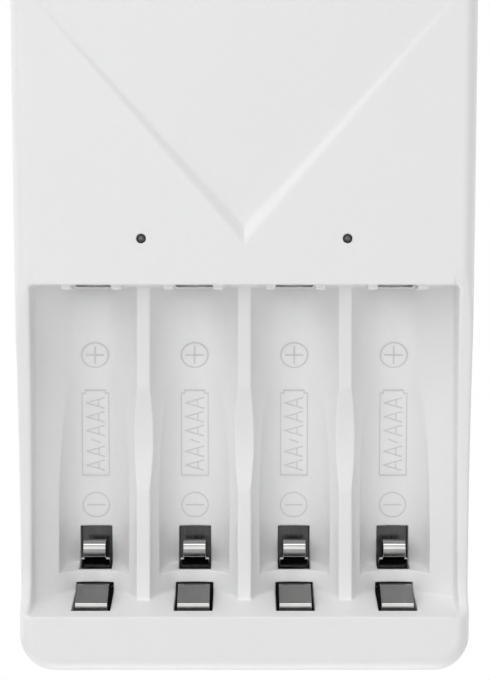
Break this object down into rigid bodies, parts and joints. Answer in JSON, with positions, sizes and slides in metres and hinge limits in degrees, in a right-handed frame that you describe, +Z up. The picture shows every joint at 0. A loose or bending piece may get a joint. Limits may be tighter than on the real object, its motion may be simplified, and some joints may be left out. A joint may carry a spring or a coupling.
{
  "type": "battery charger",
  "caption": "Plug-in wall charger for AA and AAA cells: white moulded case with an open bay of rounded troughs, sprung contacts and a flat two-pin mains plug behind.",
  "frame": {"origin": "middle of the plug's end face, between the two mains pins", "axes": "+Y along the pins into the wall, +Z up the wall, front towards -Y"},
  "size_m": [0.0766, 0.065, 0.116],
  "materials": {
    "white_abs": "satin",
    "nickel_contact": "bright",
    "nickel_pin": "bright",
    "sleeve_plastic": "satin",
    "board_laminate": "satin",
    "screw_steel": "satin",
    "black_moulding": "matte",
    "winding_tape": "satin",
    "ferrite": "matte",
    "capacitor_sleeve": "gloss",
    "yellow_box_plastic": "satin",
    "resistor_coating": "matte",
    "tinned_copper": "bright",
    "led_epoxy": "gloss",
    "smoky_guide": "gloss"
  },
  "bodies": {
    "charger": {"front_housing": "white_abs", "rear_cover": "white_abs", "plug_insert": "white_abs", "circuit_board": "board_laminate", "cover_screws": "screw_steel", "transformer_bobbin": "black_moulding", "transformer_winding": "winding_tape", "transformer_core": "ferrite", "mains_capacitor": "capacitor_sleeve", "output_capacitor": "capacitor_sleeve", "safety_capacitor": "yellow_box_plastic", "input_choke": "black_moulding", "bridge_rectifier": "black_moulding", "switching_ic": "black_moulding", "charge_controller_ic": "black_moulding", "fuse_resistor": "resistor_coating", "mains_pin_left": "nickel_pin", "mains_pin_right": "nickel_pin", "pin_sleeve_left": "sleeve_plastic", "pin_sleeve_right": "sleeve_plastic", "mains_lead_left": "tinned_copper", "mains_lead_right": "tinned_copper", "status_led_left": "led_epoxy", "status_led_right": "led_epoxy", "light_guide_left": "smoky_guide", "light_guide_right": "smoky_guide", "positive_contact_1": "nickel_contact", "positive_contact_2": "nickel_contact", "positive_contact_3": "nickel_contact", "positive_contact_4": "nickel_contact", "aaa_anchor_1": "nickel_contact", "aaa_anchor_2": "nickel_contact", "aaa_anchor_3": "nickel_contact", "aaa_anchor_4": "nickel_contact"},
    "aa_spring_1": {"aa_contact_1": "nickel_contact"},
    "aaa_spring_1": {"aaa_contact_1": "nickel_contact"},
    "aa_spring_2": {"aa_contact_2": "nickel_contact"},
    "aaa_spring_2": {"aaa_contact_2": "nickel_contact"},
    "aa_spring_3": {"aa_contact_3": "nickel_contact"},
    "aaa_spring_3": {"aaa_contact_3": "nickel_contact"},
    "aa_spring_4": {"aa_contact_4": "nickel_contact"},
    "aaa_spring_4": {"aaa_contact_4": "nickel_contact"}
  },
  "joints": [
    {"name": "aa_flex_1", "type": "hinge", "parent": "charger", "child": "aa_spring_1", "pos_m": [-0.0252, -0.02735, -0.074], "axis": [1, 0, 0], "range_deg": [0, 7], "stiffness_Nm_per_rad": 0.15},
    {"name": "aaa_flex_1", "type": "hinge", "parent": "charger", "child": "aaa_spring_1", "pos_m": [-0.0252, -0.02735, -0.0714], "axis": [1, 0, 0], "range_deg": [0, 8], "stiffness_Nm_per_rad": 0.15},
    {"name": "aa_flex_2", "type": "hinge", "parent": "charger", "child": "aa_spring_2", "pos_m": [-0.0084, -0.02735, -0.074], "axis": [1, 0, 0], "range_deg": [0, 7], "stiffness_Nm_per_rad": 0.15},
    {"name": "aaa_flex_2", "type": "hinge", "parent": "charger", "child": "aaa_spring_2", "pos_m": [-0.0084, -0.02735, -0.0714], "axis": [1, 0, 0], "range_deg": [0, 8], "stiffness_Nm_per_rad": 0.15},
    {"name": "aa_flex_3", "type": "hinge", "parent": "charger", "child": "aa_spring_3", "pos_m": [0.0084, -0.02735, -0.074], "axis": [1, 0, 0], "range_deg": [0, 7], "stiffness_Nm_per_rad": 0.15},
    {"name": "aaa_flex_3", "type": "hinge", "parent": "charger", "child": "aaa_spring_3", "pos_m": [0.0084, -0.02735, -0.0714], "axis": [1, 0, 0], "range_deg": [0, 8], "stiffness_Nm_per_rad": 0.15},
    {"name": "aa_flex_4", "type": "hinge", "parent": "charger", "child": "aa_spring_4", "pos_m": [0.0252, -0.02735, -0.074], "axis": [1, 0, 0], "range_deg": [0, 7], "stiffness_Nm_per_rad": 0.15},
    {"name": "aaa_flex_4", "type": "hinge", "parent": "charger", "child": "aaa_spring_4", "pos_m": [0.0252, -0.02735, -0.0714], "axis": [1, 0, 0], "range_deg": [0, 8], "stiffness_Nm_per_rad": 0.15}
  ]
}
